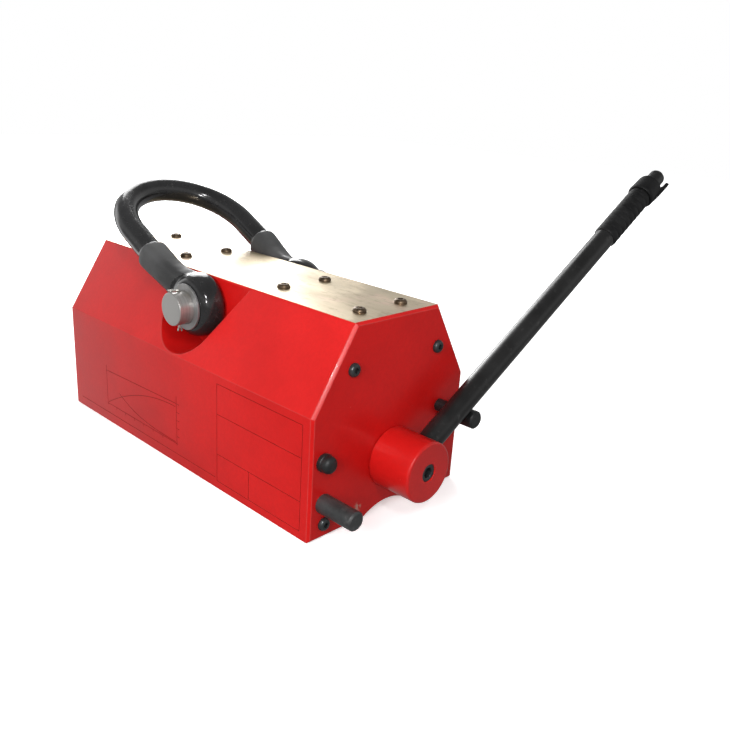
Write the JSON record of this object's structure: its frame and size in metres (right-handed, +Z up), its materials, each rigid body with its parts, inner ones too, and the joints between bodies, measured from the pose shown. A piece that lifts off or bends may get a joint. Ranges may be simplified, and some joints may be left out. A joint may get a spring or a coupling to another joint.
{
  "type": "permanent lifting magnet",
  "caption": "Lever-operated permanent lifting magnet: six-sided painted body with arched pole faces, bolted top plate, turning rotor with a long grip lever, and a hinged forged shackle.",
  "frame": {"origin": "middle of the assembly's bounding box, on the plane of the pole faces", "axes": "+X along the body towards the lever end; +Y across the body, the way the lever points when it is switched off; +Z up from the pole faces towards the shackle"},
  "size_m": [0.4976, 0.5507, 0.3259],
  "materials": {
    "red_paint": "glossy red enamel",
    "top_plate": "pale brushed brass, lacquered",
    "machined_steel": "machined",
    "bright_steel": "bright turned steel",
    "brass": "turned",
    "magnet": "nickel-coated magnet blocks",
    "gloss_black": "gloss black paint on forged steel",
    "lever_black": "satin black",
    "dark_steel": "blackened",
    "aged_screw": "bronze-brown oxide",
    "rubber": "ribbed matt rubber"
  },
  "bodies": {
    "base": {"pole_front": "red_paint", "pole_rear": "red_paint", "pole_spacer": "brass", "stator_magnet_1": "magnet", "stator_magnet_2": "magnet", "stator_magnet_3": "magnet", "lifting_beam": "machined_steel", "drive_end_plate": "red_paint", "far_end_plate": "red_paint", "top_cover_plate": "top_plate", "drive_bush": "brass", "far_bush": "brass", "stop_pin_off": "dark_steel", "stop_pin_on": "dark_steel", "key_catch": "dark_steel", "shackle_pin": "bright_steel", "washer_front": "bright_steel", "washer_rear": "bright_steel", "cotter_front": "bright_steel", "cotter_rear": "bright_steel", "top_cover_screw_1": "aged_screw", "top_cover_screw_2": "aged_screw", "top_cover_screw_3": "aged_screw", "top_cover_screw_4": "aged_screw", "top_cover_screw_5": "aged_screw", "top_cover_screw_6": "aged_screw", "top_cover_screw_7": "aged_screw", "top_cover_screw_8": "aged_screw", "drive_end_screw_1": "dark_steel", "drive_end_screw_2": "dark_steel", "drive_end_screw_3": "dark_steel", "drive_end_screw_4": "dark_steel", "far_end_screw_1": "dark_steel", "far_end_screw_2": "dark_steel", "far_end_screw_3": "dark_steel", "far_end_screw_4": "dark_steel"},
    "rotor": {"rotor_pole_a": "machined_steel", "rotor_pole_b": "machined_steel", "rotor_magnet": "magnet", "drive_shaft": "machined_steel", "far_shaft": "machined_steel", "lever_hub": "red_paint", "hub_screw": "dark_steel", "lever_tube": "lever_black", "lever_grip": "rubber"},
    "key": {"tip_button": "lever_black", "push_rod": "machined_steel", "locking_key": "dark_steel", "key_spring": "bright_steel"},
    "shackle": {"shackle": "gloss_black"}
  },
  "joints": [
    {"name": "lever_turn", "type": "hinge", "parent": "base", "child": "rotor", "pos_m": [-0.0227, -0.16743, 0.059], "axis": [1, 0, 0], "range_deg": [0, 149]},
    {"name": "shackle_swing", "type": "hinge", "parent": "base", "child": "shackle", "pos_m": [-0.0227, -0.16743, 0.173], "axis": [0, 1, 0], "range_deg": [0, 126]},
    {"name": "key_slide", "type": "slide", "parent": "rotor", "child": "key", "axis": [0, -0.8612, -0.5083], "range_m": [0, 0.01], "stiffness_N_per_m": 800, "springref_m": -0.012, "deforming": ["key_spring"]}
  ]
}
